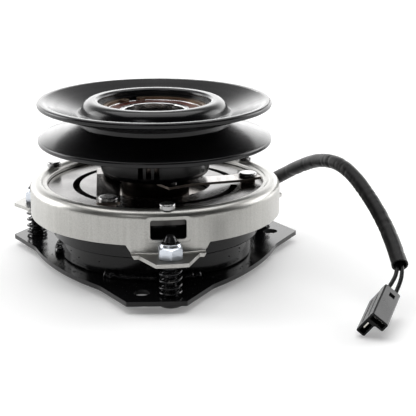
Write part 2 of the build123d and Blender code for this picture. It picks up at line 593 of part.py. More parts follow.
def connector_body():
    """Two flat cavities at right angles, with a rear bush where the wires enter."""
    arm_a = plug_block(0, 0, 0, PLUG_ARM_A, PLUG_T, PLUG_LENGTH)
    arm_b = plug_block(0, 0, 0, PLUG_T, PLUG_ARM_B, PLUG_LENGTH - 1.5)
    body = arm_a + arm_b
    body = fillet(body.edges().filter_by(Axis.Z), 1.0)
    body = fillet(body.faces().sort_by(Axis.Z)[0].outer_wire().edges(), 0.35)
    body += plug_block(0.9, 0.9, PLUG_LENGTH - 2, PLUG_ARM_A - 1.8, PLUG_T - 1.6, 4.0)
    wall = PLUG_WALL
    body -= plug_block(wall, wall, -1, PLUG_ARM_A - 2 * wall, PLUG_T - 2 * wall - 0.3,
                       PLUG_CAVITY_DEPTH + 1)
    body -= plug_block(wall, PLUG_T + 0.7, -1, PLUG_T - 2 * wall, PLUG_ARM_B - PLUG_T - 0.7 - wall,
                       PLUG_CAVITY_DEPTH + 1)
    body -= Pos(5.9, 0.0, 27.0) * Rot(-13, 0, 0) * Box(3.6, 1.2, 3.8)
    for y in (4.4, 9.4):
        body -= plug_block(-1, y, 3.0, 1.3, 1.0, PLUG_LENGTH - 8.0)
    for x in (3.0, 8.0):
        body -= Pos(x, 3.0, PLUG_LENGTH - 1.5) * Cylinder(WIRE_R, 5, align=ON_BASE)
    return plug_plane() * body


def connector_terminals():
    """A tab across each cavity, standing on the cavity's floor."""
    depth = PLUG_CAVITY_DEPTH
    tab_a = plug_block(2.2, 2.3, 3.0, PLUG_ARM_A - 4.4, 0.8, depth - 3.0)
    tab_b = plug_block(2.2, PLUG_T + 1.6, 3.0, 0.8, PLUG_ARM_B - PLUG_T - 3.8, depth - 3.0)
    return [plug_plane() * tab for tab in (tab_a, tab_b)]


def save_lead():
    save("lead_grommet", lead_grommet())
    save("lead_sleeve", tube(SLEEVE_ROUTE, SLEEVE_R, SLEEVE_R - SLEEVE_WALL))
    for name, route in WIRE_ROUTES.items():
        save(name, tube(route, WIRE_R))
    save("connector_body", connector_body())
    save("connector_terminals", *connector_terminals())


os.makedirs("parts", exist_ok=True)
save_field()
save_bearings()
save_rotor()
save_armature()
save_pulley()
save_brake()
save_hardware()
save_lead()
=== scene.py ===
"""Finished look of an electromagnetic clutch and brake, built round its fixed CAD frame."""
from __future__ import annotations

import logging
import math
from dataclasses import dataclass, field
from enum import Enum
from typing import Any, ClassVar, Sequence

import bmesh
import bpy
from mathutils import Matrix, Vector, noise


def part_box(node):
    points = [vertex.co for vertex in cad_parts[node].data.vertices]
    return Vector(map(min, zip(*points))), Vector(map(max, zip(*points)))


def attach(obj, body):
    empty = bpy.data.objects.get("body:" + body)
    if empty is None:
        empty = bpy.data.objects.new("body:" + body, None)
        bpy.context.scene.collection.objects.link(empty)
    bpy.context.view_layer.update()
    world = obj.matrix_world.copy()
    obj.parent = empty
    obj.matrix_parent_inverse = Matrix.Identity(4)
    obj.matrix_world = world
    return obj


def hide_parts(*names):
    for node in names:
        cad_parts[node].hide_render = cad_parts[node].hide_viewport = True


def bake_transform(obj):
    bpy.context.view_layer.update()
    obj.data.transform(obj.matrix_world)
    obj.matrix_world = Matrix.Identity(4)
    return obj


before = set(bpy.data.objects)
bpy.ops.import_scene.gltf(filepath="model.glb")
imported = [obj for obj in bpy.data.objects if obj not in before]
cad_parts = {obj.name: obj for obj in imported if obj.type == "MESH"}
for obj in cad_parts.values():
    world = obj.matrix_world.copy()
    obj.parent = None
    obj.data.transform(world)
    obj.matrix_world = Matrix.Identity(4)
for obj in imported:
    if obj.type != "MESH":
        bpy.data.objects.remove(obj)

LOG = logging.getLogger("clutch")
MM = 0.001
THIRD = math.radians(120)
Point = tuple[float, float, float]
Colour = tuple[float, float, float]


class Body(Enum):
    """The bodies of the frame that new pieces ride on."""

    ROOT = "root"
    PULLEY = "pulley"
    ARMATURE = "armature"
    BRAKE = "brake"


# ------------------------------------------------------------------ shader expressions
class Value:
    """A number at one place in a shader, with Python's arithmetic."""

    def __init__(self, graph: Graph, socket: bpy.types.NodeSocket) -> None:
        """Keep the graph and the socket.

        Args:
            graph: The material's graph.
            socket: The socket that gives the number.
        """
        self.graph = graph
        self.socket = socket

    def _math(self, operation: str, *operands: Value | float) -> Value:
        """Add one Math node.

        Args:
            operation: What it does.
            operands: The numbers that it works on.

        Returns:
            Its result.
        """
        settings, inputs = {"operation": operation}, dict(enumerate(operands))
        return Value(self.graph, self.graph.node("ShaderNodeMath", settings, inputs).outputs[0])

    def __add__(self, other: Value | float) -> Value:
        """This number plus another."""
        return self._math("ADD", self, other)

    def __sub__(self, other: Value | float) -> Value:
        """This number less another."""
        return self._math("SUBTRACT", self, other)

    def __rsub__(self, other: float) -> Value:
        """A plain number less this one."""
        return self._math("SUBTRACT", other, self)

    def __mul__(self, other: Value | float) -> Value:
        """This number times another."""
        return self._math("MULTIPLY", self, other)

    def __pow__(self, other: Value | float) -> Value:
        """This number to a power."""
        return self._math("POWER", self, other)

    __radd__ = __add__

    def absolute(self) -> Value:
        """The number without its sign."""
        return self._math("ABSOLUTE", self)

    def sine(self) -> Value:
        """The sine of the number."""
        return self._math("SINE", self)

    def above(self, level: float, soft: float) -> Value:
        """A smooth step from 0 to 1.

        Args:
            level: The number at the middle of the step.
            soft: The width of the step.

        Returns:
            0 well below the level, and 1 well above it.
        """
        inputs = {"Value": self, "From Min": level - soft / 2, "From Max": level + soft / 2}
        made = self.graph.node("ShaderNodeMapRange", {"interpolation_type": "SMOOTHSTEP"}, inputs)
        return Value(self.graph, made.outputs[0])


class Graph:
    """One material's nodes, made by a single method."""

    def __init__(self, name: str) -> None:
        """Start an empty material.

        Args:
            name: The material's name.
        """
        self.material = bpy.data.materials.new(name)
        self.material.use_nodes = True
        self.tree = self.material.node_tree
        self.tree.nodes.clear()
        self.place = self.node("ShaderNodeTexCoord").outputs["Object"]
        self.axes = self.node("ShaderNodeSeparateXYZ", {}, {0: self.place})

    def node(self, kind: str, settings: dict[str, Any] | None = None,
             inputs: dict[Any, Any] | None = None) -> bpy.types.Node:
        """Add a node.

        Args:
            kind: The node's type.
            settings: Its settings, which are set first.
            inputs: Values, expressions or sockets for its inputs.

        Returns:
            The node.
        """
        made = self.tree.nodes.new(kind)
        for key, setting in (settings or {}).items():
            setattr(made, key, setting)
        for key, value in (inputs or {}).items():
            if isinstance(value, Value):
                value = value.socket
            if isinstance(value, bpy.types.NodeSocket):
                self.tree.links.new(value, made.inputs[key])
            else:
                made.inputs[key].default_value = value
        return made

    def axis(self, index: int) -> Value:
        """The X, Y or Z place of the point, in metres."""
        return Value(self, self.axes.outputs[index])

    def radius(self) -> Value:
        """The distance of the point from the shaft axis, in metres."""
        x, y = self.axis(0), self.axis(1)
        return (x * x + y * y) ** 0.5

    def vector(self, x: Value | float, y: Value | float, z: Value | float) -> bpy.types.NodeSocket:
        """A vector from three numbers."""
        return self.node("ShaderNodeCombineXYZ", {}, {0: x, 1: y, 2: z}).outputs[0]

    def noise(self, scale: float, detail: float = 2.0, at: Any = None) -> Value:
        """Soft noise about 0.5.

        Args:
            scale: One over the size of its features, in metres.
            detail: How many finer layers it has.
            at: The vector that it reads, instead of the point's place.

        Returns:
            The noise.
        """
        inputs = {"Vector": at or self.place, "Scale": scale, "Detail": detail}
        return Value(self, self.node("ShaderNodeTexNoise", {}, inputs).outputs[0])

    def cells(self, scale: float) -> Value:
        """Scattered points, for specks and pits.

        Args:
            scale: One over the points' distance, in metres.

        Returns:
            The distance to the nearest point, in cells.
        """
        inputs = {"Vector": self.place, "Scale": scale}
        return Value(self, self.node("ShaderNodeTexVoronoi", {}, inputs).outputs["Distance"])

    def upward(self) -> Value:
        """How much the surface faces along the shaft axis.

        Returns:
            0 on an upright wall, and 1 on a level face.
        """
        facing = self.node("ShaderNodeTexCoord").outputs["Normal"]
        parts = self.node("ShaderNodeSeparateXYZ", {}, {0: facing})
        return Value(self, parts.outputs[2]).absolute()

    def mixed(self, factor: Value, low: Any, high: Any) -> bpy.types.NodeSocket:
        """A colour between two colours.

        Args:
            factor: 0 for the first colour and 1 for the second.
            low: The first colour, or the socket that gives it.
            high: The second colour, or the socket that gives it.

        Returns:
            The mixed colour's socket.
        """
        pair = [(*c, 1.0) if isinstance(c, tuple) and len(c) == 3 else c for c in (low, high)]
        made = self.node("ShaderNodeMix", {"data_type": "RGBA"}, {0: factor, 6: pair[0], 7: pair[1]})
        return made.outputs[2]

    def surface(self, colour: Any, roughness: Value | float, metallic: Value | float = 0.0,
                height: Value | None = None, depth: float = 0.1, strength: float = 0.5,
                **fixed: float) -> bpy.types.Material:
        """Close the shader.

        Args:
            colour: The base colour, or the socket that gives it.
            roughness: The roughness, or its expression.
            metallic: How metallic the surface is.
            height: The relief, from 0 to 1.
            depth: The relief's depth in millimetres.
            strength: How strongly the relief tilts the light.
            fixed: Other inputs of the shader, the same all over the surface.

        Returns:
            The material.
        """
        base = (*colour, 1.0) if isinstance(colour, tuple) else colour
        inputs = {"Base Color": base, "Roughness": roughness, "Metallic": metallic}
        inputs |= {key.replace("_", " ").title().replace("Ior", "IOR"): v for key, v in fixed.items()}
        if height is not None:
            relief = {"Strength": strength, "Distance": depth * MM, "Height": height}
            inputs["Normal"] = self.node("ShaderNodeBump", {}, relief).outputs[0]
        shader = self.node("ShaderNodeBsdfPrincipled", {}, inputs)
        self.node("ShaderNodeOutputMaterial", {}, {0: shader.outputs[0]})
        return self.material


# ------------------------------------------------------------------ finishes
@dataclass(frozen=True)
class GlossEnamel:
    """Dipped black enamel with orange peel, dust and worn spots."""

    name: str
    colour: Colour = (0.004, 0.004, 0.0045)
    roughness: float = 0.1
    peel: float = 700.0
    gloss: float = 0.28
    dirt: Colour = (0.06, 0.058, 0.055)

    def build(self) -> bpy.types.Material:
        """Make the material.

        Returns:
            The material.
        """
        g = Graph(self.name)
        cloud = g.noise(60.0, 3.0)
        dust = 1 - g.cells(420.0).above(0.07, 0.06)
        patch = g.noise(35.0).above(0.55, 0.2)
        colour = g.mixed(dust * patch * 0.6, self.colour, self.dirt)
        peel = g.noise(self.peel, 1.0) + dust * patch * 0.6
        return g.surface(colour, self.roughness + cloud * 0.1 + dust * 0.2, height=peel,
                         depth=0.03, strength=0.2, specular_ior_level=self.gloss)


@dataclass(frozen=True)
class SpunBlack:
    """Black e-coat over spun and turned steel, with rings round the shaft axis."""

    name: str
    colour: Colour = (0.0035, 0.0035, 0.004)
    roughness: float = 0.17
    line: float = 2600.0
    gloss: float = 0.34
    pale: Colour = (0.011, 0.011, 0.012)

    def build(self) -> bpy.types.Material:
        """Make the material.

        Returns:
            The material.
        """
        g = Graph(self.name)
        rings = g.vector(g.radius(), g.axis(2) * 0.7, 0.0)
        fine = g.noise(self.line, 3.0, rings)
        broad = g.noise(self.line / 9, 2.0, rings)
        cloud = g.noise(45.0, 3.0)
        dust = 1 - g.cells(300.0).above(0.045, 0.04)
        colour = g.mixed(broad * 0.6 + dust * 0.4, self.colour, self.pale)
        roughness = self.roughness + (broad - 0.5) * 0.12 + cloud * 0.07
        return g.surface(colour, roughness, height=fine * 0.7 + broad * 0.5 + dust * 0.5,
                         depth=0.006, strength=0.25, specular_ior_level=self.gloss)


@dataclass(frozen=True)
class PlatedCup:
    """Dull zinc over drawn sheet: fine grain, and draw streaks up the wall."""

    name: str
    colour: Colour = (0.47, 0.465, 0.445)
    shade: Colour = (0.315, 0.31, 0.292)
    roughness: float = 0.34

    def build(self) -> bpy.types.Material:
        """Make the material.

        Returns:
            The material.
        """
        g = Graph(self.name)
        upright = g.vector(g.axis(0), g.axis(1), g.axis(2) * 0.03)
        streak = g.noise(520.0, 4.0, upright)
        wide = g.noise(90.0, 2.0, upright)
        wall = 1 - g.upward().above(0.5, 0.5)
        grain = g.noise(1900.0, 2.0)
        cloud = g.noise(38.0, 3.0)
        pit = 1 - g.cells(560.0).above(0.12, 0.1)
        tone = (streak - 0.5) * wall * 0.5 + (grain - 0.5) * 1.5 + (cloud - 0.5) * 0.5
        tone = tone + (wide - 0.5) * wall * 0.35 + pit * 0.4 + 0.36
        colour = g.mixed(tone, self.colour, self.shade)
        roughness = self.roughness + (streak - 0.5) * wall * 0.16 + (grain - 0.5) * 0.2
        relief = grain * 0.7 + streak * wall * 0.3 + pit * 0.3
        return g.surface(colour, roughness, 1.0, relief, depth=0.03, strength=0.4)


@dataclass(frozen=True)
class RolledSteel:
    """Bare or phosphated steel strip with rolling marks, stains and darker edges."""

    name: str
    colour: Colour
    stain: Colour
    edge: Colour
    roughness: float
    along: float = 20.0

    def build(self) -> bpy.types.Material:
        """Make the material.

        Returns:
            The material.
        """
        g = Graph(self.name)
        rolled = g.noise(260.0, 4.0, g.vector(g.axis(0), g.axis(1) * self.along, g.axis(2)))
        cloud = g.noise(42.0, 4.0)
        grain = g.noise(2200.0, 1.0)
        flat = g.upward().above(0.6, 0.3)
        spot = 1 - g.cells(260.0).above(0.1, 0.1)
        face = g.mixed((cloud.above(0.56, 0.3) + spot * 0.5) * 0.8 + (rolled - 0.5) * 0.6,
                       self.colour, self.stain)
        colour = g.mixed(flat, self.edge, face)
        roughness = self.roughness + (rolled - 0.5) * 0.22 + (cloud - 0.5) * 0.16 + (1 - flat) * 0.12
        return g.surface(colour, roughness, 1.0, rolled * 0.6 + grain * 0.4, depth=0.02, strength=0.3)


@dataclass(frozen=True)
class TurnedSteel:
    """Machined or headed steel with fine tool rings and a thin film of oil."""

    name: str
    colour: Colour
    shade: Colour
    roughness: float
    line: float = 1800.0

    def build(self) -> bpy.types.Material:
        """Make the material.

        Returns:
            The material.
        """
        g = Graph(self.name)
        rings = g.noise(self.line, 2.0, g.vector(g.radius(), g.axis(2), 0.0))
        cloud = g.noise(120.0, 3.0)
        colour = g.mixed(cloud * 0.7 + (rings - 0.5) * 0.6, self.colour, self.shade)
        roughness = self.roughness + (cloud - 0.5) * 0.18 + (rings - 0.5) * 0.12
        return g.surface(colour, roughness, 1.0, rings, depth=0.008, strength=0.3)


@dataclass(frozen=True)
class BlackOxide:
    """Blackened steel of bolts and springs, rubbed to steel on its high spots."""

    name: str
    colour: Colour = (0.022, 0.022, 0.024)
    rubbed: Colour = (0.16, 0.155, 0.15)
    roughness: float = 0.24

    def build(self) -> bpy.types.Material:
        """Make the material.

        Returns:
            The material.
        """
        g = Graph(self.name)
        cloud = g.noise(260.0, 4.0)
        grain = g.noise(1500.0, 2.0)
        worn = cloud.above(0.62, 0.12)
        colour = g.mixed(worn * 0.7, self.colour, self.rubbed)
        return g.surface(colour, self.roughness + (grain - 0.5) * 0.25, 0.7, grain, depth=0.02,
                         strength=0.4)


@dataclass(frozen=True)
class Moulded:
    """Moulded rubber or plastic with a fine texture and handling marks."""

    name: str
    colour: Colour
    pale: Colour
    roughness: float
    grain: float = 1600.0
    depth: float = 0.03
    gloss: float = 0.16

    def build(self) -> bpy.types.Material:
        """Make the material.

        Returns:
            The material.
        """
        g = Graph(self.name)
        cloud = g.noise(110.0, 4.0)
        grain = g.noise(self.grain, 2.0)
        scuff = g.noise(420.0, 3.0).above(0.66, 0.1)
        colour = g.mixed((cloud - 0.4) * 0.5 + scuff * 0.3, self.colour, self.pale)
        roughness = self.roughness + (cloud - 0.5) * 0.22 + (grain - 0.5) * 0.12
        return g.surface(colour, roughness, height=grain + scuff * 0.3, depth=self.depth, strength=0.35,
                         specular_ior_level=self.gloss)


@dataclass(frozen=True)
class Friction:
    """Pressed friction compound with pale fibres and brassy chips."""

    name: str
    colour: Colour = (0.05, 0.043, 0.038)
    fibres: Colour = (0.14, 0.125, 0.11)
    brass: Colour = (0.32, 0.24, 0.13)

    def build(self) -> bpy.types.Material:
        """Make the material.

        Returns:
            The material.
        """
        g = Graph(self.name)
        fibre = g.noise(1300.0, 5.0)
        chip = 1 - g.cells(900.0).above(0.2, 0.1)
        colour = g.mixed(chip * 0.7, g.mixed(fibre, self.colour, self.fibres), self.brass)
        return g.surface(colour, 0.75 - chip * 0.3, chip * 0.6, fibre, depth=0.06, strength=0.6)


@dataclass(frozen=True)
class Winding:
    """Enamelled copper wire wound in layers round the shaft axis."""

    name: str
    colour: Colour = (0.62, 0.24, 0.10)
    shade: Colour = (0.40, 0.13, 0.05)
    pitch: float = 7000.0

    def build(self) -> bpy.types.Material:
        """Make the material.

        Returns:
            The material.
        """
        g = Graph(self.name)
        turns = (g.axis(2) * self.pitch).sine()
        cloud = g.noise(200.0, 2.0)
        colour = g.mixed(cloud, self.colour, self.shade)
        return g.surface(colour, 0.25 + cloud * 0.15, 1.0, turns, depth=0.2, strength=0.6)


FINISHES = {
    "black_enamel": GlossEnamel("gloss_black_enamel"),
    "weld": GlossEnamel("enamelled_weld", (0.006, 0.006, 0.007), 0.16, 1400.0),
    "pulley_black": SpunBlack("spun_black_coat"),
    "zinc_flange": PlatedCup("dull_zinc_sheet"),
    "armature_steel": RolledSteel("phosphated_steel", (0.105, 0.1, 0.098), (0.05, 0.048, 0.046),
                                  (0.07, 0.068, 0.066), 0.24),
    "spring_steel": RolledSteel("rolled_spring_strip", (0.18, 0.165, 0.155), (0.12, 0.107, 0.1),
                                (0.24, 0.205, 0.18), 0.22, 0.05),
    "bright_steel": TurnedSteel("headed_bright_steel", (0.42, 0.42, 0.422), (0.29, 0.285, 0.28), 0.26),
    "bearing_steel": TurnedSteel("ground_bearing_steel", (0.70, 0.70, 0.71), (0.5, 0.49, 0.48), 0.14),
    "hub_steel": TurnedSteel("turned_hub_steel", (0.21, 0.185, 0.165), (0.12, 0.10, 0.085), 0.22, 1200.0),
    "snap_ring": TurnedSteel("browned_snap_ring", (0.30, 0.22, 0.155), (0.13, 0.09, 0.06), 0.34),
    "zinc_nut": TurnedSteel("bright_blue_zinc", (0.74, 0.78, 0.84), (0.60, 0.635, 0.69), 0.32, 2500.0),
    "terminal": TurnedSteel("tinned_terminal", (0.80, 0.78, 0.72), (0.55, 0.52, 0.46), 0.22),
    "black_oxide": BlackOxide("black_oxide_steel"),
    "seal_rubber": Moulded("red_brown_seal", (0.07, 0.018, 0.013), (0.13, 0.045, 0.034), 0.38),
    "boot_rubber": Moulded("black_rubber_boot", (0.008, 0.008, 0.0085), (0.03, 0.029, 0.028), 0.55),
    "sleeve": Moulded("black_vinyl_sleeve", (0.0065, 0.0062, 0.0063), (0.034, 0.031, 0.03), 0.42,
                      600.0, 0.06),
    "wire": Moulded("black_wire_cover", (0.006, 0.006, 0.0065), (0.02, 0.02, 0.02), 0.28),
    "connector_plastic": Moulded("black_nylon_housing", (0.004, 0.004, 0.0045),
                                 (0.012, 0.0118, 0.0116), 0.22),
    "nylon": Moulded("dark_nylon_ring", (0.012, 0.012, 0.013), (0.04, 0.04, 0.04), 0.35),
    "potting": Moulded("potting_resin", (0.03, 0.022, 0.016), (0.08, 0.06, 0.045), 0.35),
    "friction": Friction("friction_compound"),
    "copper": Winding("enamelled_copper"),
}


@dataclass
class Paintbox:
    """Builds each finish once and hands it out."""

    made: dict[str, bpy.types.Material] = field(default_factory=dict)

    def get(self, slot: str) -> bpy.types.Material:
        """Look up a finish, and make it the first time.

        Args:
            slot: One of the record's slots.

        Returns:
            Its material.
        """
        if slot not in self.made:
            self.made[slot] = FINISHES[slot].build()
        return self.made[slot]

    def dress(self, piece: bpy.types.Object, slot: str) -> None:
        """Give a new piece its finish.

        Args:
            piece: The new piece.
            slot: The slot that its finish comes from.
        """
        piece.data.materials.clear()
        piece.data.materials.append(self.get(slot))

    def dress_frame(self) -> None:
        """Give every CAD node the finish of its own slot."""
        for node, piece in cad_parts.items():
            for material in piece.material_slots:
                slot = material.material.name.split(".")[0]
                material.material = self.get(slot)
            LOG.info("finish on %s", node)


# ------------------------------------------------------------------ mesh work
def take(piece: bpy.types.Object) -> None:
    """Select one piece alone and make it active.

    Args:
        piece: The piece to work on.
    """
    if bpy.context.object and bpy.context.object.mode != "OBJECT":
        bpy.ops.object.mode_set(mode="OBJECT")
    bpy.ops.object.select_all(action="DESELECT")
    piece.select_set(True)
    bpy.context.view_layer.objects.active = piece


def named(name: str) -> bpy.types.Object:
    """Name the active piece and its mesh.

    Args:
        name: The new name.

    Returns:
        The piece.
    """
    piece = bpy.context.active_object
    piece.name = piece.data.name = name
    return piece


def settle(piece: bpy.types.Object, smooth: float = 40.0) -> bpy.types.Object:
    """Apply a piece's modifiers and place, point its faces outwards and shade it.

    Args:
        piece: The finished piece.
        smooth: Edges bent by more than this many degrees stay sharp.

    Returns:
        The same piece.
    """
    take(piece)
    for modifier in list(piece.modifiers):
        bpy.ops.object.modifier_apply(modifier=modifier.name)
    bpy.ops.object.transform_apply(location=True, rotation=True, scale=True)
    bpy.ops.object.mode_set(mode="EDIT")
    bpy.ops.mesh.select_all(action="SELECT")
    bpy.ops.mesh.remove_doubles(threshold=0.01 * MM)
    bpy.ops.mesh.normals_make_consistent(inside=False)
    bpy.ops.object.mode_set(mode="OBJECT")
    bpy.ops.object.shade_smooth_by_angle(angle=math.radians(smooth))
    return piece


def node_copy(node: str, name: str) -> bpy.types.Object:
    """A free copy of a CAD node, with its touching leaves left apart.

    Args:
        node: The node's name.
        name: The copy's name.

    Returns:
        The copy.
    """
    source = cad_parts[node]
    piece = bpy.data.objects.new(name, source.data.copy())
    bpy.context.scene.collection.objects.link(piece)
    return piece


def thirds(piece: bpy.types.Object, names: Sequence[str],
           angles: Sequence[float]) -> list[bpy.types.Object]:
    """Split a piece of three alike parts round the shaft axis.

    Args:
        piece: The piece, which is used up.
        names: The three new names.
        angles: Where each part lies, in degrees from +X.

    Returns:
        The three pieces.
    """
    made = []
    for name, angle in zip(names, angles):
        part = bpy.data.objects.new(name, piece.data.copy())
        bpy.context.scene.collection.objects.link(part)
        mesh = bmesh.new()
        mesh.from_mesh(part.data)
        towards = Vector((math.cos(math.radians(angle)), math.sin(math.radians(angle)), 0))
        for island in islands(mesh):
            middle = sum((v.co for v in island), Vector()) / len(island)
            middle.z = 0
            if middle.angle(towards) > THIRD / 2:
                bmesh.ops.delete(mesh, geom=island, context="VERTS")
        mesh.to_mesh(part.data)
        mesh.free()
        made.append(part)
    bpy.data.objects.remove(piece)
    return made


def islands(mesh: bmesh.types.BMesh) -> list[list[bmesh.types.BMVert]]:
    """Find what hangs together in a mesh.

    Args:
        mesh: The mesh.

    Returns:
        Each connected part's vertices.
    """
    left, found = set(mesh.verts), []
    while left:
        island, edge = set(), [left.pop()]
        while edge:
            vertex = edge.pop()
            island.add(vertex)
            near = {e.other_vert(vertex) for e in vertex.link_edges} & left
            left -= near
            edge.extend(near)
        found.append(list(island))
    return found


# ------------------------------------------------------------------ welds
@dataclass
class Welds:
    """Three fillet welds between the shell and the plate, with ripples and spatter."""

    radius: float = 58.0
    floor: float = 7.1
    outset: float = 1.3
    rise: float = 1.2
    bead_radius: float = 2.7
    spans: tuple[tuple[float, float], ...] = ((-65.0, -10.0), (-170.0, -115.0), (100.0, 140.0))
    section_turns: int = 10
    step: float = 0.9
    spatter: int = 16

    def build(self, paint: Paintbox) -> None:
        """Model the beads and their spatter, and dress them.

        Args:
            paint: The finishes.
        """
        for index, (start, end) in enumerate(self.spans):
            bead = self.bead(f"weld_bead_{index + 1}", start, end)
            drops = [self.drop(index, n, start, end) for n in range(self.spatter)]
            take(bead)
            for drop in drops:
                drop.select_set(True)
            bpy.ops.object.join()
            settle(bead, 60.0)
            paint.dress(bead, "weld")
            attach(bead, Body.ROOT.value)
            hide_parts("weld_beads")
            LOG.info("piece %s", bead.name)

    def bead(self, name: str, start: float, end: float) -> bpy.types.Object:
        """Spin a round section along the joint and roughen it.

        Args:
            name: The bead's name.
            start: Where it starts, in degrees round the shaft axis.
            end: Where it ends.

        Returns:
            The bead.
        """
        at = math.radians(start)
        place = self.heart(Vector((math.cos(at), math.sin(at), 0)))
        bpy.ops.object.select_all(action="DESELECT")
        bpy.ops.mesh.primitive_circle_add(vertices=self.section_turns, radius=self.bead_radius * MM,
                                          fill_type="NGON", location=place, rotation=(math.pi / 2, 0, at))
        bead = named(name)
        bpy.ops.object.transform_apply(location=True, rotation=True, scale=True)
        bpy.ops.object.mode_set(mode="EDIT")
        bpy.ops.mesh.select_all(action="SELECT")
        steps = round((end - start) / self.step)
        bpy.ops.mesh.spin(steps=steps, angle=math.radians(end - start), center=(0, 0, 0), axis=(0, 0, 1))
        bpy.ops.mesh.select_all(action="SELECT")
        bpy.ops.mesh.normals_make_consistent(inside=False)
        bpy.ops.object.mode_set(mode="OBJECT")
        sub = bead.modifiers.new("rounder", "SUBSURF")
        sub.levels = sub.render_levels = 1
        self.roughen(bead, 2.4, 1.5)
        self.roughen(bead, 0.9, 0.7)
        take(bead)
        for modifier in list(bead.modifiers):
            bpy.ops.object.modifier_apply(modifier=modifier.name)
        self.ripple(bead, start)
        return bead

    def heart(self, way: Vector) -> Vector:
        """The middle of a bead's section, out along one way from the shaft axis."""
        middle = Vector((way.x, way.y, 0)).normalized() * (self.radius + self.outset) * MM
        return middle + Vector((0, 0, (self.floor + self.rise) * MM))

    def roughen(self, piece: bpy.types.Object, size: float, amount: float) -> None:
        """Add a Displace modifier with clouds of one size.

        Args:
            piece: The bead.
            size: The size of the lumps, in millimetres.
            amount: How far they push the surface, in millimetres.
        """
        clouds = bpy.data.textures.new(f"{piece.name}_clouds_{size}", "CLOUDS")
        clouds.noise_scale = size * MM
        push = piece.modifiers.new("lumps", "DISPLACE")
        push.texture = clouds
        push.texture_coords = "LOCAL"
        push.strength = amount * MM

    def ripple(self, piece: bpy.types.Object, start: float) -> None:
        """Raise the crescent ripples along the bead and keep it out of the plate.

        Args:
            piece: The bead.
            start: Where it starts, in degrees round the shaft axis.
        """
        for vertex in piece.data.vertices:
            angle = math.degrees(math.atan2(vertex.co.y, vertex.co.x)) - start
            swell = 1 + 0.035 * math.sin(angle * 3.1) + 0.05 * math.sin(angle * 0.61)
            middle = self.heart(vertex.co)
            vertex.co = middle + (vertex.co - middle) * swell
            vertex.co.z = max(vertex.co.z, (self.floor - 0.2) * MM)

    def drop(self, bead: int, index: int, start: float, end: float) -> bpy.types.Object:
        """One ball of spatter on the plate, or low on the shell.

        Args:
            bead: The number of the bead that it fell from.
            index: The ball's own number.
            start: Where the bead starts, in degrees round the shaft axis.
            end: Where it ends.

        Returns:
            The ball.
        """
        seeds = (Vector((bead * 7.3 + 1.7, index * 3.9, layer)) for layer in (0.5, 5.3, 9.7))
        a, b, c = (noise.noise(seed) for seed in seeds)
        at = math.radians(start + (end - start) * (0.5 + 0.75 * a))
        size = (0.35 + 0.45 * abs(b)) * MM
        low = index % 5 != 3
        radius = self.radius + (4.6 + 3.5 * abs(c) if low else 0.05)
        height = self.floor if low else self.floor + 6.0 + 7.0 * abs(c)
        place = (radius * MM * math.cos(at), radius * MM * math.sin(at), height * MM)
        bpy.ops.object.select_all(action="DESELECT")
        bpy.ops.mesh.primitive_ico_sphere_add(subdivisions=2, radius=size, location=place,
                                              scale=(1.0, 1.0, 0.7))
        return named(f"spatter_{bead}_{index}")


